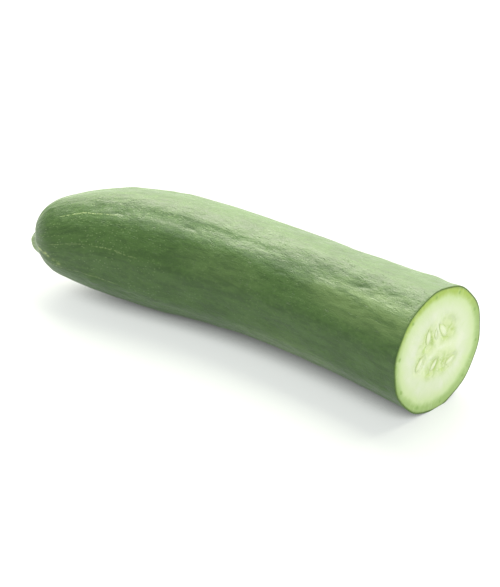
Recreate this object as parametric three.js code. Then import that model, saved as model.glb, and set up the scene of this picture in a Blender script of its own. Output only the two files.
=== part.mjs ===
// A long piece of cucumber: one grown solid, cut across at one end and rounded at its blossom end.
// It lies on its side. Millimetres, +Z up. +X runs along the fruit towards the cut, and the middle of the
// fruit bows towards +Y.
// The origin is on the surface it lies on, under the middle of its box.
import * as THREE from "three";
import { mergeVertices } from "three/addons/utils/BufferGeometryUtils.js";

// Size and form of the fruit
const LENGTH = 202; // along the centreline, without the nub
const GIRTHS = [53, 51, 50, 50, 51.3, 51.7, 44.2, 26.3]; // diameters at equal steps from the cut to the end
const BEND_RADIUS_AT_CUT = 1400;
const BEND_RADIUS_AT_END = 102; // the bend tightens with the square of the distance from the cut
const END_LENGTH = 14.5; // how far back the rounding of the blossom end reaches
const END_BLUNTNESS = 3; // 2 would be an ellipse
const END_DROP = 1.1; // how much lower the middle of the fruit lies at the blossom end than at the cut
const FLAT_DEPTH = 0.5; // how much the underside is pressed flat where it rests

// Blossom end's nub, with the groove around it
const NUB_DROP = 4.2; // how far it sits below the middle of the end
const NUB_RADIUS = 4.4;
const NUB_HEIGHT = 1.9;
const GROOVE_RADIUS = 6.6;
const GROOVE_WIDTH = 1.5;
const GROOVE_DEPTH = 0.4;

// Relief of the skin. A range gives the least and the most
const RIBS = 10;
const RIB_HEIGHT = 0.2;
const FIRST_RIB = THREE.MathUtils.degToRad(96);
const DENTS = 16;
const DENT_LENGTH = [6, 13];
const DENT_WIDTH = [3.5, 6.5];
const DENT_DEPTH = [0.25, 0.6];
const BUMPS = 26;
const BUMP_SIZE = [3.6, 4.8];
const BUMP_HEIGHT = [0.2, 0.45];
const MARK_SPAN = [0.06, 0.94]; // the share of the length that dents and bumps lie in
const GOLDEN_ANGLE = Math.PI * (3 - Math.sqrt(5));

// Cut face. It leans back a little at the top
const CUT_LEAN = THREE.MathUtils.degToRad(1);
const LEAN_REACH = 30; // how far along the fruit the rings follow the lean
const CORE_RADIUS = 16; // the seeds and the pulp lie within it
const PULP_DEPTH = 0.35;
const SEED_HEIGHT = 0.6;
const DROP_TAPER = 0.3; // how much a pocket or a seed narrows towards its tip
const PULP_EDGE = [-0.1, 0.25]; // the pulp begins softly between these values of a pocket's shape

// Pulp pockets and seeds on the cut face, seen from outside: place across, place up, length, width and
// tilt in degrees
const POCKETS = [
  [-6.3, 6.8, 10, 5, 88],
  [5, 9.4, 10, 9, 120],
  [-11, -1.8, 8.5, 5, 50],
  [-4.5, -5.2, 9, 7, 30],
  [6.5, -7.2, 11, 6, 15],
];
const SEEDS = [
  [-6.2, 8, 6.4, 2.7, 85],
  [-1.7, 7.8, 4, 1.6, 95],
  [2.6, 8, 7.6, 3, 124],
  [-11.2, -1.9, 6.6, 2.6, 52],
  [-2.5, -5.6, 5.6, 2.2, 45],
  [7.5, -7.4, 5.8, 2.3, 20],
];

// Colours
const SKIN = new THREE.Color(0x557a41);
const NUB = new THREE.Color(0x9db36b);
const RIND = new THREE.Color(0xa9c866);
const FLESH = new THREE.Color(0xdfe8bf);
const PULP = new THREE.Color(0xc3d586);
const SEED = new THREE.Color(0xeef2d2);
const RIND_WIDTH = 3;

// Fineness of the mesh
const SEGMENTS = 64;
const CORE_RINGS = 17;
const RIM_RINGS = 4;
const BODY_RINGS = 38;
const END_RINGS = 13;
const BEND_STEPS = 24;

// The nth of a row of numbers that look random, each between the least and the most.
// They are the same on every run
function scatter(n, [least, most]) {
  const value = Math.sin(n * 12.9898) * 43758.5453;
  return least + (most - least) * (value - Math.floor(value));
}

// The value at a share of a smooth curve through evenly spaced values
function alongValues(values, share) {
  const last = values.length - 1;
  const place = THREE.MathUtils.clamp(share, 0, 1) * last;
  const i = Math.min(Math.floor(place), last - 1);
  const t = place - i;
  const [a, b] = [values[i], values[i + 1]];
  const before = i > 0 ? values[i - 1] : 2 * a - b;
  const after = i + 2 <= last ? values[i + 2] : 2 * b - a;
  const slopeA = (b - before) / 2;
  const slopeB = (after - a) / 2;
  const cubic = 2 * (a - b) + slopeA + slopeB;
  const square = 3 * (b - a) - 2 * slopeA - slopeB;
  return a + slopeA * t + square * t * t + cubic * t * t * t;
}

// Half of the girth at a distance from the cut, before the blossom end rounds off
function halfGirth(along) {
  return alongValues(GIRTHS, along / LENGTH) / 2;
}

// How high the middle of the fruit lies. The thickest places rest on the surface
function middleHeight(along) {
  return GIRTHS[0] / 2 - FLAT_DEPTH - (END_DROP * along) / LENGTH;
}

// Centre of the section at a distance from the cut, and the direction that the fruit runs in there, seen
// from above. The direction at the cut puts the centres of both ends on a line along X.
function centreline(along) {
  const bendAtCut = 1 / BEND_RADIUS_AT_CUT;
  const bendGain = 1 / BEND_RADIUS_AT_END - bendAtCut;
  const leanAtCut = LENGTH * (bendAtCut / 2 + bendGain / 12);
  const directionAt = (s) => {
    const angle = leanAtCut - bendAtCut * s - (bendGain * s ** 3) / (3 * LENGTH ** 2);
    return new THREE.Vector2(-Math.cos(angle), Math.sin(angle));
  };
  const inside = THREE.MathUtils.clamp(along, 0, LENGTH);
  const step = inside / BEND_STEPS;
  const centre = new THREE.Vector2();
  for (let i = 0; i < BEND_STEPS; i++)
    centre.addScaledVector(directionAt((i + 0.5) * step), step);
  const direction = directionAt(inside);
  centre.addScaledVector(direction, along - inside);
  return { centre, direction };
}

// A soft mound, 1 at its middle and close to 0 two sizes away
function mound(distance) {
  return Math.exp(-distance * distance);
}

// Distance round the fruit between two angles
function arcBetween(angle, other, radius) {
  const turn = THREE.MathUtils.euclideanModulo(angle - other + Math.PI, 2 * Math.PI) - Math.PI;
  return turn * radius;
}

// Dents or bumps spread over the skin: one in each of count equal stretches, a golden angle apart
function marksOnSkin(count, firstAngle, sizesOf) {
  return Array.from({ length: count }, (_, i) => {
    const n = i + 100 * firstAngle;
    const place = (i + scatter(n, [0, 1])) / count;
    const middle = LENGTH * THREE.MathUtils.lerp(...MARK_SPAN, place);
    return { middle, angle: firstAngle + i * GOLDEN_ANGLE, ...sizesOf(n) };
  });
}

const dents = marksOnSkin(DENTS, 0, (n) => ({
  length: scatter(n + 0.1, DENT_LENGTH),
  width: scatter(n + 0.2, DENT_WIDTH),
  height: -scatter(n + 0.3, DENT_DEPTH),
}));
const bumps = marksOnSkin(BUMPS, 1, (n) => ({
  length: scatter(n + 0.1, BUMP_SIZE),
  width: scatter(n + 0.1, BUMP_SIZE),
  height: scatter(n + 0.3, BUMP_HEIGHT),
}));

// How far the skin stands out from a plain round section: low ribs, long shallow dents and broad bumps
function skinRelief(along, angle) {
  let relief = RIB_HEIGHT * Math.cos(RIBS * (angle - FIRST_RIB));
  for (const mark of [...dents, ...bumps]) {
    const round = arcBetween(angle, mark.angle, GIRTHS[0] / 2);
    relief += mark.height * mound(Math.hypot((along - mark.middle) / mark.length, round / mark.width));
  }
  return relief;
}

// 1 at the middle of a drop shape on the cut face, 0 on its outline and negative outside
function dropShape(across, up, [middleAcross, middleUp, length, width, tilt]) {
  const angle = THREE.MathUtils.degToRad(tilt);
  const [dx, dy] = [across - middleAcross, up - middleUp];
  const lengthwise = (dx * Math.cos(angle) + dy * Math.sin(angle)) / (length / 2);
  const sideways = (dy * Math.cos(angle) - dx * Math.sin(angle)) / (width / 2);
  const narrowing = 1 - DROP_TAPER * THREE.MathUtils.clamp(lengthwise, -1, 1);
  return 1 - Math.hypot(lengthwise, sideways / narrowing);
}

// How much of a place on the cut face is pulp, and how much is seed
function coreAt(across, up) {
  const pulp = Math.max(...POCKETS.map((pocket) => dropShape(across, up, pocket)));
  const seed = Math.max(...SEEDS.map((drop) => dropShape(across, up, drop)));
  return { pulp: THREE.MathUtils.smoothstep(pulp, ...PULP_EDGE), seed: Math.max(seed, 0) };
}

// How far the cut face stands out: pulp sinks a little and seeds stand up in it as low domes
function faceRelief(across, up) {
  const { pulp, seed } = coreAt(across, up);
  return SEED_HEIGHT * Math.sqrt(seed) - PULP_DEPTH * pulp;
}

// Half outline of the straight fruit, to be turned round its axis: out over the cut face, along the skin and
// in at the end. Each point is a radius and a distance along the fruit.
function halfOutline() {
  const rimRadius = GIRTHS[0] / 2;
  const points = [];
  for (let i = 0; i < CORE_RINGS; i++) points.push([(CORE_RADIUS * i) / CORE_RINGS, 0]);
  for (let i = 0; i < RIM_RINGS; i++)
    points.push([THREE.MathUtils.lerp(CORE_RADIUS, rimRadius, i / RIM_RINGS), 0]);
  const endStart = LENGTH - END_LENGTH;
  for (let i = 0; i < BODY_RINGS; i++) {
    const along = (endStart * i) / BODY_RINGS;
    points.push([halfGirth(along), along]);
  }
  for (let i = 0; i <= END_RINGS; i++) {
    const turn = ((Math.PI / 2) * i) / END_RINGS;
    const along = endStart + END_LENGTH * Math.sin(turn) ** (2 / END_BLUNTNESS);
    points.push([i < END_RINGS ? halfGirth(along) * Math.cos(turn) : 0, along]);
  }
  return points.map(([radius, along]) => new THREE.Vector2(radius, along));
}

// How far a place on the blossom end stands out: the nub, and the groove round it
function nubRelief(across, up) {
  const distance = Math.hypot(across, up + NUB_DROP);
  const nub = NUB_HEIGHT * Math.exp(-((distance / NUB_RADIUS) ** 4));
  return nub - GROOVE_DEPTH * mound((distance - GROOVE_RADIUS) / GROOVE_WIDTH);
}

// Place of a point of the straight, plain fruit on the bent and uneven one.
// angle is 0 on the side that the fruit bows to, and a quarter turn on top
function placeOnFruit(radius, along, angle, target) {
  const rimRadius = GIRTHS[0] / 2;
  const onFace = along === 0;
  const inEnd = THREE.MathUtils.smoothstep(along, LENGTH - 2 * END_LENGTH, LENGTH);
  const relief = skinRelief(along, angle) * (onFace ? radius / rimRadius : 1 - inEnd);
  const across = (radius + relief) * Math.cos(angle);
  const up = (radius + relief) * Math.sin(angle);
  const leanShare = Math.max(0, 1 - along / LEAN_REACH);
  let place = along + up * Math.tan(CUT_LEAN) * leanShare;
  if (onFace) place -= faceRelief(across, up);
  if (along > LENGTH - END_LENGTH) place += nubRelief(across, up);
  const { centre, direction } = centreline(place);
  const height = middleHeight(along) + up;
  target.set(centre.x + across * direction.y, centre.y - across * direction.x, Math.max(height, 0));
}

// Colour of a point: skin, the paler nub, or the cut face with its rind, pulp and seeds
function colourOfPoint(radius, along, angle, target) {
  const across = radius * Math.cos(angle);
  const up = radius * Math.sin(angle);
  if (along > 0) {
    const inEnd = along > LENGTH - END_LENGTH;
    return target.lerpColors(SKIN, NUB, inEnd ? mound(Math.hypot(across, up + NUB_DROP) / NUB_RADIUS) : 0);
  }
  const rim = GIRTHS[0] / 2 - radius;
  if (rim <= 0) return target.copy(SKIN);
  const { pulp, seed } = coreAt(across, up);
  target.lerpColors(RIND, FLESH, THREE.MathUtils.smoothstep(rim, 0, RIND_WIDTH));
  return target.lerp(PULP, pulp).lerp(SEED, seed > 0 ? 1 : 0);
}

// Leaves out triangles that have shrunk to a line, as they do where a ring meets the axis
function withoutEmptyTriangles(geometry) {
  const kept = [];
  const index = geometry.index;
  for (let i = 0; i < index.count; i += 3) {
    const corners = [index.getX(i), index.getX(i + 1), index.getX(i + 2)];
    if (new Set(corners).size === 3) kept.push(...corners);
  }
  geometry.setIndex(kept);
  return geometry;
}

// The closed surface of the fruit: a turned outline, then every point moved to its place
function fruitGeometry() {
  const turned = new THREE.LatheGeometry(halfOutline(), SEGMENTS);
  turned.deleteAttribute("normal");
  turned.deleteAttribute("uv");
  const geometry = withoutEmptyTriangles(mergeVertices(turned));
  const position = geometry.attributes.position;
  const colours = new Float32Array(position.count * 3);
  const point = new THREE.Vector3();
  const colour = new THREE.Color();
  for (let i = 0; i < position.count; i++) {
    point.fromBufferAttribute(position, i);
    const radius = Math.hypot(point.x, point.z);
    const angle = Math.atan2(point.z, point.x);
    const along = point.y;
    placeOnFruit(radius, along, angle, point);
    position.setXYZ(i, point.x, point.y, point.z);
    colourOfPoint(radius, along, angle, colour).toArray(colours, i * 3);
  }
  geometry.setAttribute("color", new THREE.BufferAttribute(colours, 3));
  geometry.computeBoundingBox();
  const middle = geometry.boundingBox.getCenter(new THREE.Vector3());
  geometry.translate(-middle.x, -middle.y, 0);
  geometry.computeVertexNormals();
  return geometry;
}

const cucumber = new THREE.Mesh(
  fruitGeometry(),
  new THREE.MeshStandardMaterial({ vertexColors: true, roughness: 0.38, metalness: 0 }),
);
cucumber.name = "cucumber";

const part = new THREE.Group();
part.add(cucumber);

export default part;
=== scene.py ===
"""Looks of a long piece of cucumber: waxy skin, and a cut face of rind, flesh, pulp and seeds.

The skin, the flesh and the seeds are fine meshes of the same form as the CAD solid, which they replace.
Places on the fruit are in millimetres and become metres with MM. Colours are linear.
"""
import math

import bpy
import numpy as np
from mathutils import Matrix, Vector, noise


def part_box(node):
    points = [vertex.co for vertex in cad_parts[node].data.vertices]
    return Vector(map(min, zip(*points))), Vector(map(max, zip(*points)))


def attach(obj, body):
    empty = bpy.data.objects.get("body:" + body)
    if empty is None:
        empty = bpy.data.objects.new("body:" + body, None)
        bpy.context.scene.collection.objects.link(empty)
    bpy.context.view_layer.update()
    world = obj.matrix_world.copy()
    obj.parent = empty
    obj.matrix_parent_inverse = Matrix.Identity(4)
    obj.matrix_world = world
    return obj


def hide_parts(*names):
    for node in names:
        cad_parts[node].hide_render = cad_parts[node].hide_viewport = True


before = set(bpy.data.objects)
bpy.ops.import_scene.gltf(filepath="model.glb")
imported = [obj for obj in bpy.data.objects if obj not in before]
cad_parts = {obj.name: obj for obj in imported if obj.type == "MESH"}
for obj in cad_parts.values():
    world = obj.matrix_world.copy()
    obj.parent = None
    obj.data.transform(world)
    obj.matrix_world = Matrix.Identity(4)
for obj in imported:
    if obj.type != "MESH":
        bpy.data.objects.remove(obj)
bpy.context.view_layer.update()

MM = 0.001

# Size and form of the fruit, as in the CAD source
LENGTH = 202  # along the centreline, without the nub
GIRTHS = [53, 51, 50, 50, 51.3, 51.7, 44.2, 26.3]  # diameters at equal steps from the cut to the end
RIM_RADIUS = GIRTHS[0] / 2
BEND_RADIUS_AT_CUT = 1400
BEND_RADIUS_AT_END = 102
END_LENGTH = 14.5
END_BLUNTNESS = 3
END_DROP = 1.1
FLAT_DEPTH = 0.5
NUB_DROP = 4.2
NUB_RADIUS = 4.4
NUB_HEIGHT = 1.9
NUB_STEEPNESS = 4
GROOVE_RADIUS = 6.6
GROOVE_WIDTH = 1.5
GROOVE_DEPTH = 0.4
RIBS = 10
RIB_HEIGHT = 0.2
FIRST_RIB = math.radians(96)
DENTS = 16
DENT_LENGTH = (6, 13)
DENT_WIDTH = (3.5, 6.5)
DENT_DEPTH = (0.25, 0.6)
BUMPS = 26
BUMP_SIZE = (3.6, 4.8)
BUMP_HEIGHT = (0.2, 0.45)
MARK_SPAN = (0.06, 0.94)  # the part of the length that has dents and bumps
GOLDEN_ANGLE = math.pi * (3 - math.sqrt(5))
CUT_LEAN = math.radians(1)
LEAN_REACH = 30  # how far from the cut its lean is felt
CORE_RADIUS = 16
PULP_DEPTH = 0.35
DROP_TAPER = 0.3  # how much narrower a drop shape is towards its tip
PULP_EDGE = (-0.1, 0.25)  # where the pulp begins and is full, as drop_shape counts

# Pulp pockets and seeds on the cut face, seen from outside: across, up, length, width, tilt in degrees
POCKETS = [
    (-6.3, 6.8, 10, 5, 88),
    (5, 9.4, 10, 9, 120),
    (-11, -1.8, 8.5, 5, 50),
    (-4.5, -5.2, 9, 7, 30),
    (6.5, -7.2, 11, 6, 15),
]
SEEDS = [
    (-6.2, 8, 6.4, 2.7, 85),
    (-1.7, 7.8, 4, 1.6, 95),
    (2.6, 8, 7.6, 3, 124),
    (-11.2, -1.9, 6.6, 2.6, 52),
    (-2.5, -5.6, 5.6, 2.2, 45),
    (7.5, -7.4, 5.8, 2.3, 20),
]
PULP_SPREAD = (-0.75, 0.15)  # how far the tint of the pulp reaches past its pockets, as PULP_EDGE
PULP_FAINT = 0.6  # the tint between the pockets, as a share of the tint in them
CORE_MIDDLE = (-1.3, 0.8)
CORE_FADE = (10.5, 14.5)
SEED_LOW = 0.28  # how deep the middle of a seed lies under the cut
SEED_RISE = 0.2  # how far it stands out above its middle
SEED_SINK = 0.9  # how deep its lower half lies in the pulp
SEED_BED = (-0.6, -0.05)  # how far the pulp sinks round a seed, as PULP_EDGE
SEED_GAP = 0.13  # width of the gap round a seed, as a share of the seed
SEED_GAP_DEPTH = 0.03

# The pale star where the three walls of the core meet
STAR_MIDDLE = (-0.6, 1.2)
RAY_ANGLES = (88, -8, 212)
RAY_WIDTH = 1.7
RAY_LENGTH = 18

# Fine wrinkles of the skin: how long, how wide and how deep. They and all that is carved with them only go
# inwards, so that the skin stays inside the CAD box
SKIN_INSET = 0.05
WRINKLES = [(11, 6, 0.32), (5, 3.2, 0.22), (2.3, 1.6, 0.13)]

# Single creases, carved in and darkened with painted shade: distance from the cut, angle in degrees, length
# and turn in degrees. More are scattered
NICKS = [(66.5, 95.5, 4, 8), (29, 118, 7, 10), (33.5, 100, 3.6, 6), (119, 122, 7.5, -3), (54, 91, 6, -5)]
MORE_NICKS = 30
MORE_NICKS_START = 200  # the angle of the first of them
NICK_LENGTH = (2.5, 7)
NICK_TURN = (-22, 22)
NICK_WIDTH = 0.7
NICK_DEPTH = 0.2

# Long soft grooves: distance from the cut, angle in degrees, length, width and depth
SOFT_GROOVES = [
    (36, 123, 66, 3.4, 0.36),
    (40, 95, 40, 2.6, 0.12),
    (112, 97.5, 66, 4.5, 0.5),
    (114, 119, 84, 3, 0.28),
    (70, 243, 70, 3.4, 0.3),
    (130, 284, 60, 3.2, 0.28),
    (52, 330, 56, 3.2, 0.3),
    (140, 26, 50, 3, 0.24),
]

# Patches of paler skin, the first of them in part a painted highlight: distance from the cut, angle in
# degrees, length, width and strength
PALE_AND_HIGHLIGHT_PATCHES = [
    # on the upper flank by the cut: paler skin, and in part a painted highlight
    (20, 135, 64, 9, 1.3),
    (96, 150, 44, 8, 0.4),
    (60, 215, 50, 10, 0.5),
    (130, 300, 44, 9, 0.5),
    (36, 20, 52, 8, 0.35),
]

# Pale broken lines on the ribs near the blossom end: distances from the cut of either end, angle in degrees
# and strength
PALE_LINES = [
    (154, 190, 124, 0.8),
    (138, 170, 158, 0.3),
    (168, 196, 156, 0.3),
    (182, 202, 192, 0.9),
    (150, 186, 194, 0.35),
    (170, 196, 86, 0.5),
    (146, 197, 50, 0.7),
    (160, 197, 12, 0.6),
    (140, 196, 336, 0.8),
    (152, 198, 300, 0.6),
    (156, 195, 264, 0.7),
    (165, 198, 228, 0.5),
]
LINE_FADE = 7
LINE_SPREAD = math.radians(13)  # how far to either side a line may wander

# Pale spots by the nub: distance from the cut, angle in degrees, size and strength
PALE_SPOTS = [
    (199.2, 191, 0.6, 1),
    (197.8, 188, 0.5, 0.8),
    (196.2, 191, 0.4, 0.5),
    (194.8, 188, 0.55, 0.7),
    (193.4, 190.5, 0.45, 0.6),
    (190.2, 193, 0.45, 0.35),
    (187.2, 197, 0.5, 0.4),
    (197, 252, 0.5, 0.6),
    (194.6, 249, 0.4, 0.4),
    (196, 38, 0.5, 0.6),
    (198, 102, 0.45, 0.5),
]
SPOT_STRETCH = 1.7  # how much longer a spot is along the fruit than round it
END_NARROWING = 0.45  # the girth at the spots, as a share of the girth at the cut

# Where the wrinkles fade, and how uneven the cut face is
RIM_CALM = 0.25  # the share of the wrinkles that is left at the cut
CALM_REACH = 6
REST_CALM = 1.0  # how high above the surface the wrinkles are back at full depth
FACE_WAVE = 3.5
FACE_UNEVEN = 0.06

# The skin as a body of its own: its thickness at the cut, and the recess in it that the flesh fills
SKIN_THICKNESS = 0.62
PLUG_DEPTH = 5
PLUG_SHOULDER = PLUG_DEPTH / 4
PLUG_TAPER = 1.2  # how much narrower it is behind its shoulder, so that no dent of the skin reaches it
EDGE = 0.07  # width of the rounded edges at the cut

# Fineness of the meshes
SEGMENTS = 320
FACE_RINGS = 84
BODY_RINGS = 230
END_RINGS = 44
SEED_SEGMENTS = 40
SEED_RINGS = 16
BEND_STEPS = 400

# Camera, fitted to the outline of the fruit in the photo
CAMERA_PLACE = (352.0, -563.6, 375.4)
CAMERA_DOWN = math.radians(28.15)
CAMERA_TURN = math.radians(31.59)
FOCAL_PIXELS = 1800
IMAGE_HEIGHT = 587
SENSOR_MM = 36
CAMERA_RANGE = (0.01, 50)  # in metres


def scatter(n, span):
    """The nth of a row of numbers that look random, each between the least and the most."""
    least, most = span
    value = math.sin(n * 12.9898) * 43758.5453
    return least + (most - least) * (value - math.floor(value))


def smoothstep(x, low, high):
    t = np.clip((x - low) / (high - low), 0, 1)
    return t * t * (3 - 2 * t)


def mound(distance):
    """A soft mound, 1 at its middle and close to 0 two sizes away."""
    return np.exp(-distance * distance)


def noise_at(points, seed):
    """Smooth noise between about -1 and 1 at each point."""
    shifted = points + np.array([17.3, 9.1, 4.7]) * seed
    return np.array([noise.noise(point) for point in shifted.tolist()])


def along_values(values, share):
    """The value at a share of a smooth curve through evenly spaced values."""
    values = np.array(values, float)
    last = len(values) - 1
    place = np.clip(share, 0, 1) * last
    i = np.minimum(np.floor(place).astype(int), last - 1)
    t = place - i
    ends = 2 * values[[0, -1]] - values[[1, -2]]
    padded = np.concatenate([ends[:1], values, ends[1:]])
    before, a, b, after = padded[i], padded[i + 1], padded[i + 2], padded[i + 3]
    slope_a = (b - before) / 2
    slope_b = (after - a) / 2
    cubic = 2 * (a - b) + slope_a + slope_b
    square = 3 * (b - a) - 2 * slope_a - slope_b
    return a + slope_a * t + square * t ** 2 + cubic * t ** 3


def half_girth(along):
    """Half of the girth at a distance from the cut, before the blossom end rounds off."""
    return along_values(GIRTHS, along / LENGTH) / 2


def middle_height(along):
    """How high the middle of the fruit lies. The thickest places rest on the surface."""
    return RIM_RADIUS - FLAT_DEPTH - END_DROP * along / LENGTH


def centreline(along):
    """Centre and direction of the fruit at a distance from the cut, seen from above."""
    bend_at_cut = 1 / BEND_RADIUS_AT_CUT
    bend_gain = 1 / BEND_RADIUS_AT_END - bend_at_cut
    lean_at_cut = LENGTH * (bend_at_cut / 2 + bend_gain / 12)

    def direction_at(s):
        angle = lean_at_cut - bend_at_cut * s - bend_gain * s ** 3 / (3 * LENGTH ** 2)
        return np.stack([-np.cos(angle), np.sin(angle)], -1)

    step = LENGTH / BEND_STEPS
    steps = direction_at((np.arange(BEND_STEPS) + 0.5) * step) * step
    walked = np.concatenate([np.zeros((1, 2)), np.cumsum(steps, 0)])
    stops = np.arange(BEND_STEPS + 1) * step
    inside = np.clip(along, 0, LENGTH)
    centre = np.stack([np.interp(inside, stops, walked[:, axis]) for axis in range(2)], -1)
    direction = direction_at(inside)
    return centre + direction * (along - inside)[:, None], direction


def marks_on_skin(count, first_angle, sizes_of):
    """Dents or bumps over the skin: one in each of count equal stretches, a golden angle apart."""
    marks = []
    for i in range(count):
        n = i + 100 * first_angle
        place = (i + scatter(n, (0, 1))) / count
        middle = LENGTH * (MARK_SPAN[0] + (MARK_SPAN[1] - MARK_SPAN[0]) * place)
        marks.append((middle, first_angle + i * GOLDEN_ANGLE, *sizes_of(n)))
    return marks


def dent_sizes(n):
    return scatter(n + 0.1, DENT_LENGTH), scatter(n + 0.2, DENT_WIDTH), -scatter(n + 0.3, DENT_DEPTH)


def bump_sizes(n):
    size = scatter(n + 0.1, BUMP_SIZE)
    return size, size, scatter(n + 0.3, BUMP_HEIGHT)


MARKS = marks_on_skin(DENTS, 0, dent_sizes) + marks_on_skin(BUMPS, 1, bump_sizes)


def turn_from(start, angle):
    """The turn from one angle to another, between half a turn back and half a turn on."""
    return np.mod(angle - start + math.pi, 2 * math.pi) - math.pi


def skin_relief(along, angle):
    """How far the skin stands out from a plain round section: low ribs, long dents and broad bumps."""
    relief = RIB_HEIGHT * np.cos(RIBS * (angle - FIRST_RIB))
    for middle, mark_angle, length, width, height in MARKS:
        turn = turn_from(mark_angle, angle)
        relief += height * mound(np.hypot((along - middle) / length, turn * RIM_RADIUS / width))
    return relief


def from_place(along, angle, middle, degrees):
    """How far along the fruit and how far round it each point lies from a place on the skin."""
    return along - middle, turn_from(math.radians(degrees), angle) * RIM_RADIUS


def nicks_at(along, angle):
    """How much of a place on the skin lies in one of the short single creases."""
    nicks = list(NICKS)
    for i in range(MORE_NICKS):
        middle = LENGTH * (i + scatter(i + 0.4, (0, 1))) / MORE_NICKS
        degrees = math.degrees(i * GOLDEN_ANGLE) + MORE_NICKS_START
        nicks.append((middle, degrees, scatter(i + 0.5, NICK_LENGTH), scatter(i + 0.6, NICK_TURN)))
    depth = np.zeros(len(along))
    for middle, degrees, length, turn in nicks:
        far, aside = from_place(along, angle, middle, degrees)
        tilt = math.radians(turn)
        lengthwise = far * math.cos(tilt) + aside * math.sin(tilt)
        sideways = aside * math.cos(tilt) - far * math.sin(tilt)
        share = (2 * lengthwise / length) ** 2
        bend = NICK_WIDTH * share
        depth = np.maximum(depth, mound((sideways - bend) / NICK_WIDTH) * mound(share))
    return depth


def pale_and_highlight_at(along, angle):
    """How pale the skin is in its broad, soft patches. The first of them is in part a painted highlight."""
    pale = np.zeros(len(along))
    for middle, degrees, length, width, strength in PALE_AND_HIGHLIGHT_PATCHES:
        far, aside = from_place(along, angle, middle, degrees)
        pale = np.maximum(pale, strength * mound(np.hypot(2 * far / length, aside / width) ** 2))
    return np.minimum(pale, 1)


def lines_at(along, angle):
    """How strongly a place on the skin shows the pale broken line of its rib."""
    shown = np.zeros(len(along))
    for start, end, degrees, strength in PALE_LINES:
        turn = turn_from(math.radians(degrees), angle)
        reach = smoothstep(along, start, start + LINE_FADE) * (1 - smoothstep(along, end - LINE_FADE, end))
        shown = np.maximum(shown, strength * reach * (np.abs(turn) < LINE_SPREAD))
    return shown


def spots_at(along, angle):
    """How much of a place on the skin lies in one of the pale spots by the nub."""
    shown = np.zeros(len(along))
    for middle, degrees, size, strength in PALE_SPOTS:
        far, aside = from_place(along, angle, middle, degrees)
        out = np.hypot(far / SPOT_STRETCH, aside * END_NARROWING) / size
        shown = np.maximum(shown, strength * mound(out))
    return shown


def grooves_at(along, angle):
    """How deep the long soft grooves between some of the ribs are."""
    depth = np.zeros(len(along))
    for middle, degrees, length, width, most in SOFT_GROOVES:
        far, aside = from_place(along, angle, middle, degrees)
        depth = np.maximum(depth, most * mound(aside / width) * mound((2 * far / length) ** 2))
    return depth


def fine_relief(along, angle, height):
    """How deep the skin's fine wrinkles are. They fade at the cut and where the fruit rests."""
    around = np.stack([np.cos(angle), np.sin(angle)], -1) * RIM_RADIUS
    depth = np.full(len(along), SKIN_INSET)
    for seed, (long_way, round_way, most) in enumerate(WRINKLES, 1):
        points = np.concatenate([(along / long_way)[:, None], around / round_way], 1)
        depth += most * (0.5 + 0.5 * noise_at(points, seed))
    depth += NICK_DEPTH * nicks_at(along, angle) + grooves_at(along, angle)
    at_cut = RIM_CALM + (1 - RIM_CALM) * smoothstep(along, 0, CALM_REACH)
    return depth * at_cut * smoothstep(height, 0, REST_CALM)


def drop_shape(across, up, drop):
    """1 at the middle of a drop shape on the cut face, 0 on its outline and negative outside."""
    middle_across, middle_up, length, width, tilt = drop
    angle = math.radians(tilt)
    dx, dy = across - middle_across, up - middle_up
    lengthwise = (dx * math.cos(angle) + dy * math.sin(angle)) / (length / 2)
    sideways = (dy * math.cos(angle) - dx * math.sin(angle)) / (width / 2)
    narrowing = 1 - DROP_TAPER * np.clip(lengthwise, -1, 1)
    return 1 - np.hypot(lengthwise, sideways / narrowing)


def largest_drop(across, up, drops):
    return np.max([drop_shape(across, up, drop) for drop in drops], 0)


def pulp_at(across, up):
    """How much of a place on the cut face is pulp."""
    return smoothstep(largest_drop(across, up, POCKETS), *PULP_EDGE)


def pulp_tint_at(across, up):
    """How green the pulp tints a place on the cut face: faintly over the core, fully in the pockets."""
    from_middle = np.hypot(across - CORE_MIDDLE[0], up - CORE_MIDDLE[1])
    in_core = 1 - smoothstep(from_middle, *CORE_FADE)
    in_pocket = smoothstep(largest_drop(across, up, POCKETS), *PULP_SPREAD)
    return PULP_FAINT * in_core + (1 - PULP_FAINT) * in_pocket


def seed_gap_at(across, up):
    """How much of a place on the cut face lies in the narrow gap round a seed."""
    return mound(largest_drop(across, up, SEEDS) / SEED_GAP)


def rays_at(across, up):
    """How much of a place on the cut face lies on the pale star where the three walls of the core meet."""
    rays = np.zeros(len(across))
    for angle in RAY_ANGLES:
        direction = math.cos(math.radians(angle)), math.sin(math.radians(angle))
        dx, dy = across - STAR_MIDDLE[0], up - STAR_MIDDLE[1]
        lengthwise = dx * direction[0] + dy * direction[1]
        sideways = dy * direction[0] - dx * direction[1]
        width = RAY_WIDTH * (1 + np.maximum(lengthwise, 0) / RAY_LENGTH)
        begin = smoothstep(lengthwise, -RAY_WIDTH, 0)
        reach = begin * (1 - smoothstep(lengthwise, RAY_LENGTH / 2, RAY_LENGTH))
        rays = np.maximum(rays, mound(sideways / width) * reach)
    return rays


def nub_relief(across, up):
    """How far a place on the blossom end stands out: the nub, and the groove round it."""
    distance = np.hypot(across, up + NUB_DROP)
    nub = NUB_HEIGHT * np.exp(-((distance / NUB_RADIUS) ** NUB_STEEPNESS))
    return nub - GROOVE_DEPTH * mound((distance - GROOVE_RADIUS) / GROOVE_WIDTH)


def beside_centreline(place, across):
    """x and y of points so far from the cut and so far across the fruit."""
    centre, direction = centreline(place)
    return centre[:, 0] + across * direction[:, 1], centre[:, 1] - across * direction[:, 0]


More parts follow.
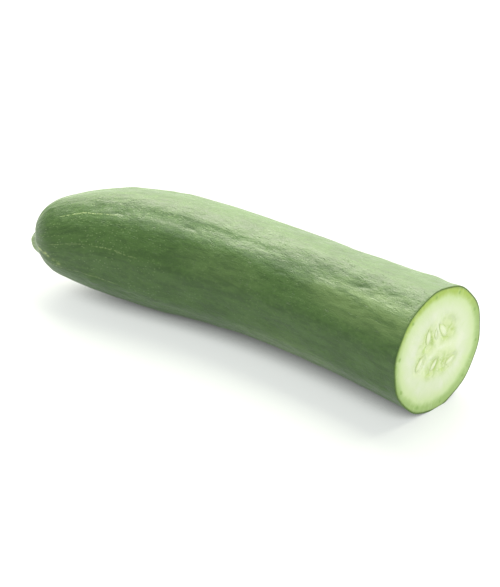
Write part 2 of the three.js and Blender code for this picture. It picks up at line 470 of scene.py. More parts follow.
def place_on_fruit(radius, along, angle, relief_at_cut=None):
    """Points of the plain, straight fruit on the bent and uneven one, and how far across and up they are."""
    in_end = smoothstep(along, LENGTH - 2 * END_LENGTH, LENGTH)
    share = np.where(along <= PLUG_DEPTH, radius / RIM_RADIUS, 1 - in_end)
    uneven = radius + skin_relief(along, angle) * share
    across, up = uneven * np.cos(angle), uneven * np.sin(angle)
    place = along + up * math.tan(CUT_LEAN) * np.maximum(0, 1 - along / LEAN_REACH)
    place += np.where(along > LENGTH - END_LENGTH, nub_relief(across, up), 0)
    if relief_at_cut is not None:
        place -= relief_at_cut(across, up) * (along == 0)
    x, y = beside_centreline(place, across)
    z = np.maximum(middle_height(along) + up, 0)
    return np.stack([x, y, z], -1), across, up


def face_relief(across, up):
    """How far the flesh stands out of the cut: the pulp sinks, with a narrow gap round each seed."""
    seed_bed = smoothstep(largest_drop(across, up, SEEDS), *SEED_BED)
    sunk = PULP_DEPTH * np.maximum(pulp_at(across, up), seed_bed) + SEED_GAP_DEPTH * seed_gap_at(across, up)
    points = np.stack([across, up, np.zeros(len(across))], -1) / FACE_WAVE
    calm_rim = 1 - smoothstep(np.hypot(across, up), CORE_RADIUS, RIM_RADIUS)
    return FACE_UNEVEN * noise_at(points, 3) * calm_rim - sunk


def skin_outline():
    """Radius and distance from the cut of each ring of the skin: recess, rim, body and end."""
    inner = RIM_RADIUS - SKIN_THICKNESS
    rings = [(inner - PLUG_TAPER, PLUG_DEPTH), (inner - PLUG_TAPER, PLUG_SHOULDER)]
    rings += [(inner, EDGE), (inner + EDGE, 0), (RIM_RADIUS - EDGE, 0)]
    end_start = LENGTH - END_LENGTH
    body = np.linspace(EDGE, end_start, BODY_RINGS, endpoint=False)
    rings += list(zip(half_girth(body), body))
    turns = np.linspace(0, math.pi / 2, END_RINGS, endpoint=False)
    end = end_start + END_LENGTH * np.sin(turns) ** (2 / END_BLUNTNESS)
    rings += list(zip(half_girth(end) * np.cos(turns), end))
    return np.array(rings)


def flesh_outline():
    """Radius and distance from the cut of each ring of the flesh: the cut face, then its side."""
    outer = RIM_RADIUS - SKIN_THICKNESS
    radii = np.linspace(0, outer - EDGE, FACE_RINGS + 1)[1:]
    rings = [(radius, 0) for radius in radii]
    rings += [(outer, EDGE), (outer - PLUG_TAPER, PLUG_SHOULDER), (outer - PLUG_TAPER, PLUG_DEPTH)]
    return np.array(rings)


def points_of_rings(rings, segments):
    """Radius, distance from the cut and angle of every point of the rings."""
    angles = np.arange(segments) * 2 * math.pi / segments
    radius = np.repeat(rings[:, 0], segments)
    along = np.repeat(rings[:, 1], segments)
    return radius, along, np.tile(angles, len(rings))


def ring_faces(rings, segments):
    """Faces over rings of points and the two poles, which come after the points of the rings."""
    index = np.arange(rings * segments).reshape(rings, segments)
    following = np.roll(index, -1, 1)
    quads = np.stack([index[:-1], index[1:], following[1:], following[:-1]], -1).reshape(-1, 4).tolist()
    first, last = rings * segments, rings * segments + 1
    quads += [(first, a, b) for a, b in zip(index[0].tolist(), following[0].tolist())]
    quads += [(last, b, a) for a, b in zip(index[-1].tolist(), following[-1].tolist())]
    return quads


def add_mesh(name, points, faces, vectors, numbers, material, slot):
    """A smooth piece of the fruit, with vectors and numbers for its material at every point."""
    mesh = bpy.data.meshes.new(name)
    mesh.from_pydata((points * MM).tolist(), [], faces)
    for key, values in vectors.items():
        attribute = mesh.attributes.new(key, "FLOAT_VECTOR", "POINT")
        attribute.data.foreach_set("vector", values.ravel().astype(np.float32))
    for key, values in numbers.items():
        attribute = mesh.attributes.new(key, "FLOAT", "POINT")
        attribute.data.foreach_set("value", values.astype(np.float32))
    mesh.shade_smooth()
    mesh.materials.append(material)
    piece = bpy.data.objects.new(name, mesh)
    bpy.context.scene.collection.objects.link(piece)
    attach(piece, "root")
    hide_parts("cucumber")
    return piece


def outward_normals(points, faces):
    """The smooth normal of every point of a closed body whose faces turn outwards."""
    mesh = bpy.data.meshes.new("normals")
    mesh.from_pydata(points.tolist(), [], faces)
    normals = np.zeros(len(points) * 3, np.float32)
    mesh.vertices.foreach_get("normal", normals)
    bpy.data.meshes.remove(mesh)
    return normals.reshape(-1, 3)


def with_poles(radius, along, angle, first_along, last_along):
    """The same points with the two poles on the axis after them."""
    return (
        np.append(radius, [0, 0]),
        np.append(along, [first_along, last_along]),
        np.append(angle, [0, 0]),
    )


def middle_of(points):
    return (points.min(0) + points.max(0)) / 2


def build_skin():
    """The skin of the whole fruit, with a shallow round recess at the cut that the flesh fills."""
    rings = skin_outline()
    radius, along, angle = with_poles(*points_of_rings(rings, SEGMENTS), PLUG_DEPTH, LENGTH)
    points, across, up = place_on_fruit(radius, along, angle)
    faces = ring_faces(len(rings), SEGMENTS)
    depth = fine_relief(along, angle, points[:, 2])
    outside = (radius > RIM_RADIUS - SKIN_THICKNESS / 2) | (along > PLUG_DEPTH)
    moved = points - outward_normals(points, faces) * (depth * outside)[:, None]

    # Its patterns run straight from the cut, and meet at the nub
    turn = np.arctan2(up + NUB_DROP * smoothstep(along, LENGTH - 3 * END_LENGTH, LENGTH), across)
    straight = np.stack([along, np.cos(turn) * RIM_RADIUS, np.sin(turn) * RIM_RADIUS], -1)
    in_end = smoothstep(along, LENGTH - END_LENGTH, LENGTH - END_LENGTH / 2)
    from_nub = np.hypot(across, up + NUB_DROP) + RIM_RADIUS * (1 - in_end)
    values = {
        "from_nub": from_nub,
        # where painted shade darkens the single creases
        "nick": nicks_at(along, angle),
        # paler patches, the first of them in part a painted highlight
        "pale": pale_and_highlight_at(along, angle),
        "line": lines_at(along, turn),
        "spot": spots_at(along, angle),
    }
    return moved, faces, {"straight": straight}, values


def build_flesh():
    """The flesh at the cut as a plug behind the cut face."""
    rings = flesh_outline()
    radius, along, angle = with_poles(*points_of_rings(rings, SEGMENTS), 0, PLUG_DEPTH)
    points, across, up = place_on_fruit(radius, along, angle, face_relief)
    face = np.stack([across, up, along], -1)
    values = {
        "pulp": pulp_tint_at(across, up),
        # where painted shade darkens the gap round each seed
        "gap": seed_gap_at(across, up),
        "star": rays_at(across, up),
    }
    return points, ring_faces(len(rings), SEGMENTS), {"face": face}, values


def build_seeds():
    """The seeds that the cut lays bare: drop shapes that lie in the pulp and stand a little out of it."""
    levels = np.linspace(-math.pi / 2, math.pi / 2, SEED_RINGS + 2)[1:-1]
    turns = np.arange(SEED_SEGMENTS) * 2 * math.pi / SEED_SEGMENTS
    level, turn = (values.ravel() for values in np.meshgrid(levels, turns, indexing="ij"))
    level = np.append(level, [-math.pi / 2, math.pi / 2])
    turn = np.append(turn, [0, 0])
    one_seed = ring_faces(SEED_RINGS, SEED_SEGMENTS)
    points, faces, places = [], [], []
    for middle_across, middle_up, length, width, tilt in SEEDS:
        lengthwise = np.cos(level) * np.cos(turn)
        sideways = np.cos(level) * np.sin(turn) * (1 - DROP_TAPER * lengthwise)
        rise = np.sin(level)
        rise = np.where(rise > 0, SEED_RISE * rise, SEED_SINK * rise)
        angle = math.radians(tilt)
        dx, dy = lengthwise * length / 2, sideways * width / 2
        across = middle_across + dx * math.cos(angle) - dy * math.sin(angle)
        up = middle_up + dx * math.sin(angle) + dy * math.cos(angle)
        place = up * math.tan(CUT_LEAN) + SEED_LOW - rise
        x, y = beside_centreline(place, across)
        start = sum(len(p) for p in points)
        points.append(np.stack([x, y, middle_height(0) + up], -1))
        places.append(np.stack([lengthwise, sideways, rise], -1))
        faces += [[start + corner for corner in corners] for corners in one_seed]
    return np.concatenate(points), faces, {"on_seed": np.concatenate(places)}, {}


class Finish:
    """A material that is built from nodes. Nearly every method adds nodes and returns an output."""

    def __init__(self, name):
        self.material = bpy.data.materials.new(name)
        self.material.use_nodes = True
        self.tree = self.material.node_tree
        self.tree.nodes.clear()
        self.shader = self.tree.nodes.new("ShaderNodeBsdfPrincipled")
        output = self.tree.nodes.new("ShaderNodeOutputMaterial")
        self.tree.links.new(self.shader.outputs["BSDF"], output.inputs["Surface"])

    def put(self, socket, value):
        """Links a socket to an output, or sets it to a number, vector or colour."""
        if isinstance(value, bpy.types.NodeSocket):
            self.tree.links.new(value, socket)
        elif hasattr(value, "__len__") and socket.type == "RGBA":
            socket.default_value = (*value, 1)
        else:
            socket.default_value = value

    def add(self, kind, inputs, output=0, **settings):
        node = self.tree.nodes.new(kind)
        for key, value in settings.items():
            setattr(node, key, value)
        for key, value in inputs.items():
            self.put(node.inputs[key], value)
        return node.outputs[output]

    def attribute(self, name, output="Vector"):
        return self.add("ShaderNodeAttribute", {}, output, attribute_name=name)

    def number(self, name):
        """One of the numbers that the mesh holds at every point."""
        return self.attribute(name, "Fac")

    def math(self, operation, a, b=0.0, c=0.0):
        return self.add("ShaderNodeMath", {0: a, 1: b, 2: c}, operation=operation)

    def times(self, a, b):
        return self.math("MULTIPLY", a, b)

    def swing(self, share, reach):
        """A number from -reach to reach, by a share from 0 to 1."""
        return self.math("MULTIPLY_ADD", share, 2 * reach, -reach)

    def off_middle(self, share):
        """How far a share lies from a half."""
        return self.math("ABSOLUTE", self.math("SUBTRACT", share, 0.5))

    def vector_math(self, operation, a, b=(0, 0, 0), output="Vector"):
        return self.add("ShaderNodeVectorMath", {0: a, 1: b}, output, operation=operation)

    def length(self, vector):
        return self.vector_math("LENGTH", vector, output="Value")

    def separate(self, vector):
        node = self.tree.nodes.new("ShaderNodeSeparateXYZ")
        self.put(node.inputs[0], vector)
        return node.outputs[0], node.outputs[1], node.outputs[2]

    def combine(self, x, y, z):
        return self.add("ShaderNodeCombineXYZ", {0: x, 1: y, 2: z})

    def step(self, value, low, high, least=0.0, most=1.0):
        """Rises smoothly from least at low to most at high."""
        inputs = {"Value": value, "From Min": low, "From Max": high, "To Min": least, "To Max": most}
        return self.add("ShaderNodeMapRange", inputs, interpolation_type="SMOOTHSTEP")

    def mix(self, share, a, b):
        """A colour between two, by a share from 0 to 1."""
        node = self.tree.nodes.new("ShaderNodeMix")
        node.data_type = "RGBA"
        sockets = {socket.identifier: socket for socket in node.inputs}
        self.put(sockets["Factor_Float"], share)
        self.put(sockets["A_Color"], a)
        self.put(sockets["B_Color"], b)
        return next(socket for socket in node.outputs if socket.identifier == "Result_Color")

    def noise(self, vector, detail=2.0, rough=0.5, warp=0.0):
        inputs = {"Vector": vector, "Scale": 1.0, "Detail": detail, "Roughness": rough, "Distortion": warp}
        return self.add("ShaderNodeTexNoise", inputs, "Fac")

    def cells(self, vector):
        return self.add("ShaderNodeTexVoronoi", {"Vector": vector, "Scale": 1.0}, "Distance")

    def even(self, vector, grains):
        """Places for a pattern with so many grains per millimetre."""
        return self.vector_math("MULTIPLY", vector, (grains, grains, grains))

    def stretched(self, vector, long_way, round_way, shift):
        """Places for a pattern whose grain is so long along the fruit and so wide round it."""
        scale = (1 / long_way, 1 / round_way, 1 / round_way)
        scaled = self.vector_math("MULTIPLY", vector, scale)
        return self.vector_math("ADD", scaled, (shift, shift, shift))

    def bump(self, height, depth, normal=None):
        """Relief of a height between 0 and 1 that stands so many millimetres deep."""
        inputs = {"Height": height, "Distance": depth * MM, "Strength": 1.0}
        if normal is not None:
            inputs["Normal"] = normal
        return self.add("ShaderNodeBump", inputs)

    def set(self, **values):
        """Sets the shader's sockets, which are named with _ for a space."""
        for key, value in values.items():
            self.put(self.shader.inputs[key.replace("_", " ")], value)


def rib_distance(finish, around_a, around_b, first, radius, wobble):
    """Distance round the fruit to the nearest rib in millimetres, and a number that tells the ribs apart."""
    angle = finish.math("ARCTAN2", around_b, around_a)
    ribs = finish.times(finish.math("SUBTRACT", angle, first), RIBS / (2 * math.pi))
    nearest = finish.math("ROUND", ribs)
    gap = 2 * math.pi * radius / RIBS
    off = finish.times(finish.math("SUBTRACT", ribs, nearest), gap)
    return finish.math("ABSOLUTE", finish.math("ADD", off, wobble)), nearest


# Colours of the skin
SKIN_DARK = (0.041, 0.095, 0.017)
SKIN_MID = (0.059, 0.131, 0.024)
# paler skin, also the colour of the painted highlight in the first pale patch
SKIN_PALE_AND_HIGHLIGHT = (0.118, 0.198, 0.058)
LINE_YELLOW = (0.36, 0.46, 0.19)
SPOT_YELLOW = (0.52, 0.62, 0.22)
FLECK = (0.16, 0.25, 0.09)
NUB_GREEN = (0.20, 0.30, 0.12)
NUB_PALE = (0.36, 0.46, 0.24)
GROOVE_PALE = (0.40, 0.50, 0.33)
SCAR_BROWN = (0.16, 0.13, 0.05)
CUT_EDGE = (0.085, 0.165, 0.015)  # where it is cut through

# Patterns on the skin: length of the grain along the fruit, its width round it, and a shift that gives each
# pattern a place of its own in the noise
CLOUDS = (22, 9, 11)
STREAKS = (13, 2.2, 0)
MOTTLE = (2.8, 1.9, 23)
DOTS = (2.0, 1.25, 31)
WANDERING = (12, 12, 41)
SAND = (0.8, 0.65, 53)
FOLDS = (4.2, 1.5, 61)
WINDING = (8, 2.2, 67)
BREAKS = (2.8, 2.8, 71)

# Where each of these begins and is full, and its share at either of the two where that isn't 0 and 1
TONE_STEP = (0.4, 0.58)
PALE_MOTTLE = (0.52, 0.8, 0, 0.4)
PALE_STREAKS = (0.35, 0.6, 0.45, 1.0)
FLECK_SIZE = (0.3, 0.08)
FLECK_CLOUDS = (0.4, 0.58)
FLECK_SPREAD = (0, LENGTH, 0.15, 1.0)
LINE_WIDTH = (0.4, 0.1)
LINE_DASHES = (0.4, 0.56)
SPOT_MOTTLE = (0.35, 0.55, 0.4, 1.0)
CUT_TINT = (0.2, EDGE, 0, 0.9)
NUB_MOTTLE = (0.4, 0.62)
GROOVE_TINT = (GROOVE_RADIUS + 3.2, GROOVE_RADIUS - 1, 0, 0.7)
NUB_TINT = (GROOVE_RADIUS - 0.5, NUB_RADIUS - 1)
SCAR_TINT = (1.6, 0.6, 0, 0.8)
CREASE_WIDTH = (0.04, 0.0)
CREASE_BREAKS = (0.56, 0.68)

# Shares in the tone of the skin, and how much painted shade darkens its nicks and creases
STREAK_SHARE = 0.45
CLOUD_SHARE = 0.3
MOTTLE_SHARE = 0.25
NICK_PAINTED_SHADE = 0.6
CREASE_PAINTED_SHADE = 0.35

LINE_TWIST = math.radians(-12)  # how far the pale lines wind off the ribs by the blossom end
LINE_WANDER = 1.2
DASH_LENGTH = 2.2
NUB_UNEVEN = 1.0
FOLD_DEPTH = 0.16
CREASE_DEPTH = 0.08
SAND_DEPTH = 0.09


def skin_green(skin, streaks, clouds, mottle):
    """Dark and middle green in streaks, with paler patches, the first of them in part a painted highlight,
    and creases darkened with painted shade.
    """
    tone = skin.math("MULTIPLY_ADD", streaks, STREAK_SHARE, skin.times(clouds, CLOUD_SHARE))
    tone = skin.math("MULTIPLY_ADD", mottle, MOTTLE_SHARE, tone)
    colour = skin.mix(skin.step(tone, *TONE_STEP), SKIN_DARK, SKIN_MID)
    colour = skin.mix(skin.step(mottle, *PALE_MOTTLE), colour, SKIN_PALE_AND_HIGHLIGHT)
    # broad paler patches, the first of them in part a painted highlight
    pale = skin.times(skin.number("pale"), skin.step(streaks, *PALE_STREAKS))
    colour = skin.mix(pale, colour, SKIN_PALE_AND_HIGHLIGHT)
    # painted shade darkens the single creases
    return skin.mix(skin.times(skin.number("nick"), NICK_PAINTED_SHADE), colour, SKIN_DARK)


def with_flecks(skin, colour, straight, along, clouds):
    """The colour with flecks, which are denser towards the blossom end."""
    dots = skin.cells(skin.stretched(straight, *DOTS))
    spread = skin.times(skin.step(clouds, *FLECK_CLOUDS), skin.step(along, *FLECK_SPREAD))
    return skin.mix(skin.times(skin.step(dots, *FLECK_SIZE), spread), colour, FLECK)


def with_lines(skin, colour, straight, along, side, top):
    """The colour with broken pale lines on the ribs, strongest near the blossom end."""
    wobble = skin.swing(skin.noise(skin.stretched(straight, *WANDERING)), LINE_WANDER)
    first = skin.step(along, LENGTH / 2, LENGTH, FIRST_RIB, FIRST_RIB + LINE_TWIST)
    off_rib, rib = rib_distance(skin, side, top, first, RIM_RADIUS, wobble)
    on_line = skin.combine(skin.math("DIVIDE", along, DASH_LENGTH), rib, 0.0)
    dashes = skin.noise(on_line, detail=2, rough=0.7)
    lines = skin.times(skin.step(off_rib, *LINE_WIDTH), skin.step(dashes, *LINE_DASHES))
    return skin.mix(skin.times(lines, skin.number("line")), colour, LINE_YELLOW)


def with_ends(skin, colour, along, mottle):
    """The colour with the pale spots by the nub, the cut edge, the nub and the pale groove round it."""
    spots = skin.times(skin.number("spot"), skin.step(mottle, *SPOT_MOTTLE))
    colour = skin.mix(spots, colour, SPOT_YELLOW)
    colour = skin.mix(skin.step(along, *CUT_TINT), colour, CUT_EDGE)
    uneven = skin.math("ADD", skin.number("from_nub"), skin.swing(mottle, NUB_UNEVEN))
    nub = skin.mix(skin.step(mottle, *NUB_MOTTLE), NUB_GREEN, NUB_PALE)
    colour = skin.mix(skin.step(uneven, *GROOVE_TINT), colour, GROOVE_PALE)
    colour = skin.mix(skin.step(uneven, *NUB_TINT), colour, nub)
    return skin.mix(skin.step(uneven, *SCAR_TINT), colour, SCAR_BROWN)


def skin_creases(skin, straight):
    """How much of a place lies in one of the short creases that wind and break off."""
    winding = skin.noise(skin.stretched(straight, *WINDING), detail=2, warp=0.5)
    broken = skin.noise(skin.stretched(straight, *BREAKS), detail=2)
    return skin.times(skin.step(skin.off_middle(winding), *CREASE_WIDTH), skin.step(broken, *CREASE_BREAKS))


def skin_normal(skin, straight, creases):
    """Relief finer than the mesh: folds, creases and a sandy grain."""
    folds = skin.noise(skin.stretched(straight, *FOLDS), detail=3, rough=0.6, warp=0.9)
    sand = skin.noise(skin.stretched(straight, *SAND), detail=3, rough=0.6)
    normal = skin.bump(folds, FOLD_DEPTH)
    normal = skin.bump(skin.math("SUBTRACT", 1.0, creases), CREASE_DEPTH, normal)
    return skin.bump(sand, SAND_DEPTH, normal)


def skin_material():
    """Waxy dark green skin with lengthwise streaks, flecks, pale broken lines and a pale nub."""
    skin = Finish("cucumber_skin")
    straight = skin.attribute("straight")
    along, side, top = skin.separate(straight)
    clouds = skin.noise(skin.stretched(straight, *CLOUDS), detail=3, rough=0.55)
    streaks = skin.noise(skin.stretched(straight, *STREAKS), detail=4, rough=0.6, warp=0.4)
    mottle = skin.noise(skin.stretched(straight, *MOTTLE), detail=4, rough=0.62)
    colour = skin_green(skin, streaks, clouds, mottle)
    colour = with_flecks(skin, colour, straight, along, clouds)
    colour = with_lines(skin, colour, straight, along, side, top)
    colour = with_ends(skin, colour, along, mottle)
    creases = skin_creases(skin, straight)
    skin.set(
        # painted shade darkens the winding creases
        Base_Color=skin.mix(skin.times(creases, CREASE_PAINTED_SHADE), colour, SKIN_DARK),
        Roughness=skin.step(mottle, 0.3, 0.75, least=0.31, most=0.46),
        Normal=skin_normal(skin, straight, creases),
        Specular_IOR_Level=0.45,
    )
    return skin.material


# Colours of the flesh
FLESH_MIDDLE = (0.69, 0.78, 0.45)
FLESH_PALE = (0.69, 0.77, 0.53)
FLESH_WHITE = (0.76, 0.80, 0.64)
FLESH_GREEN = (0.58, 0.72, 0.34)
RIND_GREEN = (0.34, 0.51, 0.145)
RIND_YELLOW = (0.37, 0.53, 0.06)
RIND_DARK = (0.19, 0.33, 0.035)
PULP_GREEN = (0.48, 0.63, 0.20)
PULP_PALE = (0.64, 0.75, 0.38)
# painted shade in the gap round each seed
GAP_SHADE_GREEN = (0.50, 0.63, 0.22)
STAR_PALE = (0.82, 0.88, 0.66)
VESSEL_GREEN = (0.24, 0.42, 0.07)

# Patterns on the flesh, in grains per millimetre. The fibres run outwards from the middle of the cut face.
FLESH_CLOUDS = 0.16
FLESH_GRAIN = 1.3
WHITE_CLOUDS = 0.12
PULP_BLOTS = 0.3
PULP_WEB = 0.33
FIBRES_ROUND = 9  # on a circle of radius 1
FIBRE_LENGTH = 9

# The rind and the vessels
# Shifted down, the rind and the green ring widen at the bottom of the cut face, in part as painted shade
# there
RIND_SHIFT = (0.7, -0.5, 0)  # the rind is wider on the side that it is shifted to
RIND_STRETCH = (1, 1.04, 0)  # and wider at the top and the bottom
RIND_UNEVEN = 1.5
VESSEL_RADIUS = 24.1
VESSEL_SIZE = 0.85
VESSEL_WANDER = 1.5
VESSEL_UNEVEN = 0.4

# Where each of these begins and is full, and its share at either of the two where that isn't 0 and 1
MIDDLE_PALING = (3, 12)
WHITE_STEP = (0.48, 0.66, 0, 0.6)
OUTER_GREENING = (16.5, 24.2)
RIND_YELLOWING = (4, 20)
RIND_TINT = (21.8, 25.2)
RIND_DARKENING = (24.9, 26.1, 0, 0.7)
FIBRE_GREENING = (0.5, 0.72, 0, 0.35)
VESSEL_TINT = (VESSEL_SIZE * 1.3, VESSEL_SIZE * 0.4, 0, 0.8)
BLOT_PALING = (0.36, 0.64)
WEB_THREADS = (0.03, 0.0, 0, 0.4)
STAR_BLOTS = (0.3, 0.6, 0.85, 0.45)
# share of the painted shade in the gap round each seed
GAP_SHADE_SHARE = 0.3
FIBRE_DEPTH = 0.06
GRAIN_DEPTH = 0.05


def fibres_of(flesh, flat, radius):
    """Noise that is drawn out from the middle of the cut face to its rim."""
    unit = flesh.vector_math("NORMALIZE", flat)
    spokes = flesh.vector_math("MULTIPLY", unit, (FIBRES_ROUND, FIBRES_ROUND, 0))
    outwards = flesh.combine(0.0, 0.0, flesh.math("DIVIDE", radius, FIBRE_LENGTH))
    return flesh.noise(flesh.vector_math("ADD", spokes, outwards), detail=4, rough=0.65)


def flesh_and_rind(flesh, face, flat, up, radius, clouds, fibres):
    """Pale flesh with whiter clouds, which turns green outwards and ends in the rind."""
    # the shift widens the green towards the bottom, in part as painted shade
    shifted = flesh.vector_math("ADD", flesh.vector_math("MULTIPLY", flat, RIND_STRETCH), RIND_SHIFT)
    uneven = flesh.math("ADD", flesh.length(shifted), flesh.swing(clouds, RIND_UNEVEN))
    colour = flesh.mix(flesh.step(uneven, *MIDDLE_PALING), FLESH_MIDDLE, FLESH_PALE)
    white = flesh.noise(flesh.even(face, WHITE_CLOUDS), detail=2, warp=0.5)
    colour = flesh.mix(flesh.step(white, *WHITE_STEP), colour, FLESH_WHITE)
    colour = flesh.mix(flesh.step(uneven, *OUTER_GREENING), colour, FLESH_GREEN)
    rind = flesh.mix(flesh.step(up, *RIND_YELLOWING), RIND_GREEN, RIND_YELLOW)
    colour = flesh.mix(flesh.step(uneven, *RIND_TINT), colour, rind)
    colour = flesh.mix(flesh.step(radius, *RIND_DARKENING), colour, RIND_DARK)
    return flesh.mix(flesh.step(fibres, *FIBRE_GREENING), colour, FLESH_GREEN)


def with_vessels(flesh, colour, across, up, radius, clouds, grain):
    """The colour with a green vessel on each rib, near the rind."""
    wobble = flesh.swing(clouds, VESSEL_WANDER)
    off_rib, _ = rib_distance(flesh, across, up, FIRST_RIB, VESSEL_RADIUS, wobble)
    off_ring = flesh.math("SUBTRACT", radius, VESSEL_RADIUS)
    squares = flesh.math("ADD", flesh.math("POWER", off_rib, 2.0), flesh.math("POWER", off_ring, 2.0))
    off = flesh.math("ADD", flesh.math("SQRT", squares), flesh.swing(grain, VESSEL_UNEVEN))
    return flesh.mix(flesh.step(off, *VESSEL_TINT), colour, VESSEL_GREEN)


def with_core(flesh, colour, face):
    """The colour with the pulp and its web, painted shade in the gaps round the seeds, and the pale star."""
    blots = flesh.noise(flesh.even(face, PULP_BLOTS), detail=1.5, warp=0.6)
    web = flesh.noise(flesh.even(face, PULP_WEB), detail=1, warp=1.4)
    pulp = flesh.mix(flesh.step(blots, *BLOT_PALING), PULP_GREEN, PULP_PALE)
    pulp = flesh.mix(flesh.step(flesh.off_middle(web), *WEB_THREADS), pulp, STAR_PALE)
    colour = flesh.mix(flesh.number("pulp"), colour, pulp)
    # painted shade in the narrow gap round each seed
    colour = flesh.mix(flesh.times(flesh.number("gap"), GAP_SHADE_SHARE), colour, GAP_SHADE_GREEN)
    star = flesh.times(flesh.number("star"), flesh.step(blots, *STAR_BLOTS))
    return flesh.mix(star, colour, STAR_PALE)


def flesh_material():
    """Wet flesh with a yellow-green rind, green vessels on the ribs, fibres, pulp and a pale star."""
    flesh = Finish("cucumber_flesh")
    face = flesh.attribute("face")
    across, up, _ = flesh.separate(face)
    flat = flesh.vector_math("MULTIPLY", face, (1, 1, 0))
    radius = flesh.length(flat)
    clouds = flesh.noise(flesh.even(face, FLESH_CLOUDS), detail=3, rough=0.6)
    grain = flesh.noise(flesh.even(face, FLESH_GRAIN), detail=3, rough=0.6)
    fibres = fibres_of(flesh, flat, radius)
    colour = flesh_and_rind(flesh, face, flat, up, radius, clouds, fibres)
    colour = with_vessels(flesh, colour, across, up, radius, clouds, grain)
    colour = with_core(flesh, colour, face)
    flesh.set(
        Base_Color=colour,
        Roughness=flesh.step(grain, 0.25, 0.75, least=0.3, most=0.5),
        Normal=flesh.bump(grain, GRAIN_DEPTH, flesh.bump(fibres, FIBRE_DEPTH)),
        Coat_Weight=0.25,
        Coat_Roughness=0.2,
        Subsurface_Weight=0.35,
        Subsurface_Radius=(1.0, 1.1, 0.45),
        Subsurface_Scale=2.5 * MM,
    )
    return flesh.material


SEED_PALE = (0.75, 0.83, 0.56)
SEED_EDGE = (0.62, 0.74, 0.35)
SEED_GRAINS = (2.0, 9.0, 3.0)  # along, across and up, on a seed of half length and half width 1
SEED_UNEVEN = 0.15
SEED_GREENING = (0.45, 0.95)
SEED_GRAIN_DEPTH = 0.04


def seed_material():
    """Pale unripe seeds, greener towards their rims, with a faint lengthwise grain."""
    seed = Finish("cucumber_seed")
    on_seed = seed.attribute("on_seed")
    grain = seed.noise(seed.vector_math("MULTIPLY", on_seed, SEED_GRAINS), detail=3, rough=0.6)
    out = seed.length(seed.vector_math("MULTIPLY", on_seed, (1, 1, 0)))
    out = seed.math("ADD", out, seed.swing(grain, SEED_UNEVEN))
    seed.set(
        Base_Color=seed.mix(seed.step(out, *SEED_GREENING), SEED_PALE, SEED_EDGE),
        Roughness=seed.step(grain, 0.3, 0.7, least=0.22, most=0.36),
        Normal=seed.bump(grain, SEED_GRAIN_DEPTH),
        Coat_Weight=0.3,
        Coat_Roughness=0.12,
        Subsurface_Weight=0.3,
        Subsurface_Radius=(1.0, 1.0, 0.6),
        Subsurface_Scale=1.5 * MM,
    )
    return seed.material


# The surface, a lit table that glows, its glow dimmed near the fruit as a painted contact shadow. Sizes in
# this part are in metres.
# faintly green: painted green bounce light from the fruit in the shade of the floor
FLOOR_COLOUR = (0.21, 0.228, 0.21)
FLOOR_SIZE = 8
FLOOR_DROP = 0.00002
GLOW_COLOUR = (0.975, 1, 0.985)
FLOOR_GLOW = 0.62
# painted contact shadow: the glow dims where the fruit rests on the surface
FLOOR_SHADOW_GLOW = 0.06  # its glow where the fruit rests on it
SHADE_REACH = 0.022
OPEN_SKY = 0.45  # the open share of the surroundings from which the surface glows in full

# The light
WORLD_STRENGTH = 0.64
WHITE = (1, 1, 1)
WARM_WHITE = (1, 0.965, 0.85)  # of the lamps behind the fruit

# Softboxes: the middle of each, its tilt from straight down and its heading in degrees, its width, its depth
# and its brightness
SOFTBOXES = {
    "high_back_softbox": ((-0.42, 0.512, 0.8), 0, -12, 1.74, 0.55, 9),
    "far_back_softbox": ((-0.08, 1.11, 0.8), 0, -12, 1.8, 0.75, 3.3),
    "back_softbox": ((-0.9, 1.7, 0.4), 75, 180, 3.6, 0.8, 1.9),
    "overhead_softbox": ((-0.42, -0.14, 0.8), 0, 12, 0.5, 0.6, 2.5),
    "right_softbox": ((1.3, -0.3, 0.4), 74, 77, 0.8, 0.6, 1.35),
}


def floor_material():
    """A plain, nearly white surface with a very faint sheen that glows, dimmed near the fruit as a painted
    contact shadow.
    """
    floor = Finish("studio_floor")
    open_share = floor.add("ShaderNodeAmbientOcclusion", {"Distance": SHADE_REACH}, "AO")
    floor.set(
        Base_Color=FLOOR_COLOUR,
        Roughness=0.55,
        Specular_IOR_Level=0.3,
        Emission_Color=GLOW_COLOUR,
        # painted contact shadow: the glow dims where the surroundings are shut off near the fruit
        Emission_Strength=floor.step(open_share, 0.0, OPEN_SKY, FLOOR_SHADOW_GLOW, FLOOR_GLOW),
    )
    return floor.material


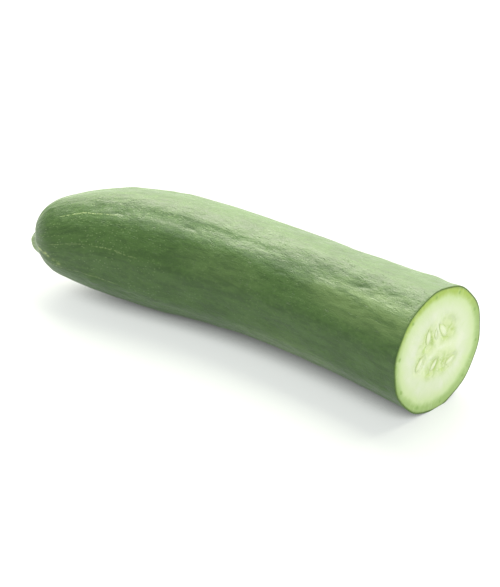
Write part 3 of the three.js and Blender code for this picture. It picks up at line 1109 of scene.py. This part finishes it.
def build_floor():
    half = FLOOR_SIZE / 2
    corners = [(x * half, y * half, -FLOOR_DROP) for x, y in ((-1, -1), (1, -1), (1, 1), (-1, 1))]
    mesh = bpy.data.meshes.new("studio_floor")
    mesh.from_pydata(corners, [], [(0, 1, 2, 3)])
    mesh.materials.append(floor_material())
    floor = bpy.data.objects.new("studio_floor", mesh)
    bpy.context.scene.collection.objects.link(floor)


def build_world():
    """Even white light from all round."""
    world = bpy.data.worlds.new("studio")
    bpy.context.scene.world = world
    world.use_nodes = True
    background = world.node_tree.nodes["Background"]
    background.inputs["Color"].default_value = (*WHITE, 1)
    background.inputs["Strength"].default_value = WORLD_STRENGTH


def build_lamps():
    for name, (place, tilt, heading, width, depth, brightness) in SOFTBOXES.items():
        data = bpy.data.lights.new(name, "AREA")
        data.shape = "RECTANGLE"
        data.size = width
        data.size_y = depth
        data.energy = math.pi * width * depth * brightness
        data.color = WARM_WHITE if "back" in name else WHITE
        lamp = bpy.data.objects.new(name, data)
        lamp.location = place
        lamp.rotation_euler = (math.radians(tilt), 0, math.radians(heading))
        lamp.visible_camera = False
        bpy.context.scene.collection.objects.link(lamp)


def build_camera():
    data = bpy.data.cameras.new("camera")
    data.sensor_width = SENSOR_MM
    data.lens = FOCAL_PIXELS * SENSOR_MM / IMAGE_HEIGHT
    data.clip_start, data.clip_end = CAMERA_RANGE
    camera = bpy.data.objects.new("camera", data)
    camera.location = Vector(CAMERA_PLACE) * MM
    camera.rotation_euler = (math.pi / 2 - CAMERA_DOWN, 0, CAMERA_TURN)
    bpy.context.scene.collection.objects.link(camera)
    bpy.context.scene.camera = camera


def build_cucumber():
    """All three pieces, moved together so that the middle of the skin's box is the middle of the CAD box."""
    skin_points, *skin = build_skin()
    flesh_points, *flesh = build_flesh()
    seed_points, *seeds = build_seeds()
    low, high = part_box("cucumber")
    shift = np.array((low + high) / 2) / MM - middle_of(skin_points)
    shift[2] = 0
    add_mesh("cucumber_skin", skin_points + shift, *skin, skin_material(), "skin")
    add_mesh("cucumber_flesh", flesh_points + shift, *flesh, flesh_material(), "flesh")
    add_mesh("cucumber_seeds", seed_points + shift, *seeds, seed_material(), "seed")


build_camera()
build_cucumber()
build_floor()
build_world()
build_lamps()
bpy.context.scene.view_settings.view_transform = "Standard"
